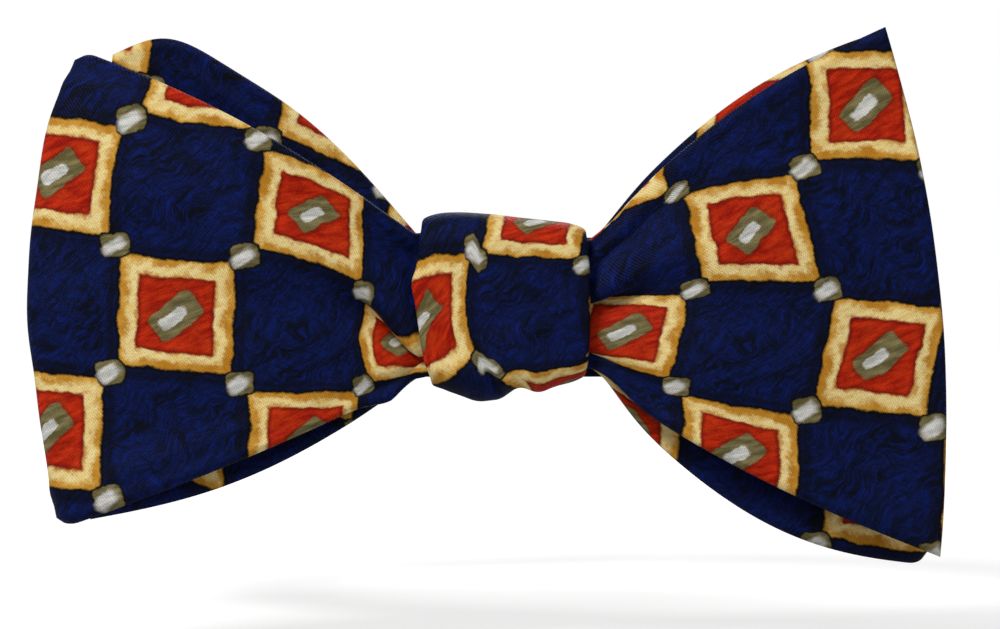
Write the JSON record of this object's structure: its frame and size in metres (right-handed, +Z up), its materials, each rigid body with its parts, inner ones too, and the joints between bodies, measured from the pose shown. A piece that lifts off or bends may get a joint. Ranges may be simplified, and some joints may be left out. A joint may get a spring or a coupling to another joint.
{
  "type": "bow tie",
  "caption": "Self-tie butterfly bow tie in printed silk, tied, with folded loops, free ends, a wrapped knot and an adjustable neckband with hook, eye and slide.",
  "frame": {"origin": "centre of the neck loop, on its axis and at mid height of the band", "axes": "+Z up the neck, -Y to the front where the bow is, +X to the right-hand side seen from the front"},
  "size_m": [0.1269, 0.1465, 0.0714],
  "materials": {
    "printed_silk": null,
    "interlining": "matt woven canvas",
    "stitching": "navy thread",
    "label_cloth": "plain woven tape, blank",
    "clasp_metal": "bright nickel-coloured metal"
  },
  "bodies": {
    "neckband": {"left_band_silk": "printed_silk", "left_band_interlining": "interlining", "right_band_silk": "printed_silk", "right_band_interlining": "interlining", "right_strap": "printed_silk", "strap_tack": "stitching", "knot_stem": "printed_silk", "blank_label": "label_cloth"},
    "band_flap": {"flap_silk": "printed_silk", "flap_interlining": "interlining", "hook_tack": "stitching"},
    "band_hook": {"hook": "clasp_metal"},
    "band_eye": {"eye_ring": "clasp_metal"},
    "band_slide": {"slide_buckle": "clasp_metal", "band_tail": "printed_silk", "tail_tack": "stitching"},
    "bow": {"knot_face": "printed_silk", "knot_interlining": "interlining", "knot_backing": "printed_silk", "front_waist": "printed_silk", "middle_waist": "printed_silk", "back_waist": "printed_silk"},
    "left_loop_wing": {"left_loop_face": "printed_silk", "left_loop_interlining": "interlining", "left_loop_backing": "printed_silk"},
    "left_end_wing": {"left_end_face": "printed_silk", "left_end_interlining": "interlining", "left_end_backing": "printed_silk"},
    "right_end_wing": {"right_end_face": "printed_silk", "right_end_interlining": "interlining", "right_end_backing": "printed_silk"},
    "right_loop_wing": {"right_loop_face": "printed_silk", "right_loop_interlining": "interlining", "right_loop_backing": "printed_silk"}
  },
  "joints": [
    {"name": "flap_bend", "type": "hinge", "parent": "neckband", "child": "band_flap", "pos_m": [-0.05674, 0.02646, 0], "axis": [0, 0, 1], "range_deg": [0, 60]},
    {"name": "hook_pivot", "type": "hinge", "parent": "band_flap", "child": "band_hook", "pos_m": [-0.00989, 0.06242, 0], "axis": [0, 0, 1], "range_deg": [0, 35]},
    {"name": "eye_pivot", "type": "hinge", "parent": "neckband", "child": "band_eye", "pos_m": [0.009, 0.06402, 0], "axis": [0, 0, 1], "range_deg": [0, 10]},
    {"name": "slide_travel", "type": "hinge", "parent": "neckband", "child": "band_slide", "pos_m": [0, 0, 0], "axis": [0, 0, 1], "range_deg": [-25, 0]},
    {"name": "bow_swivel", "type": "hinge", "parent": "neckband", "child": "bow", "pos_m": [0, -0.072, 0], "axis": [0, 1, 0], "range_deg": [-8, 8]},
    {"name": "left_loop_flex", "type": "hinge", "parent": "bow", "child": "left_loop_wing", "pos_m": [-0.0117, -0.074, 0], "axis": [0, 0, 1], "range_deg": [0, 12], "stiffness_Nm_per_rad": 0.004},
    {"name": "left_end_flex", "type": "hinge", "parent": "bow", "child": "left_end_wing", "pos_m": [-0.0117, -0.0684, 0], "axis": [0, 0, 1], "range_deg": [-10, 0], "stiffness_Nm_per_rad": 0.004},
    {"name": "right_end_flex", "type": "hinge", "parent": "bow", "child": "right_end_wing", "pos_m": [0.0117, -0.0762, 0], "axis": [0, 0, 1], "range_deg": [-12, 0], "stiffness_Nm_per_rad": 0.004},
    {"name": "right_loop_flex", "type": "hinge", "parent": "bow", "child": "right_loop_wing", "pos_m": [0.0117, -0.0704, 0], "axis": [0, 0, 1], "range_deg": [0, 10], "stiffness_Nm_per_rad": 0.004}
  ]
}
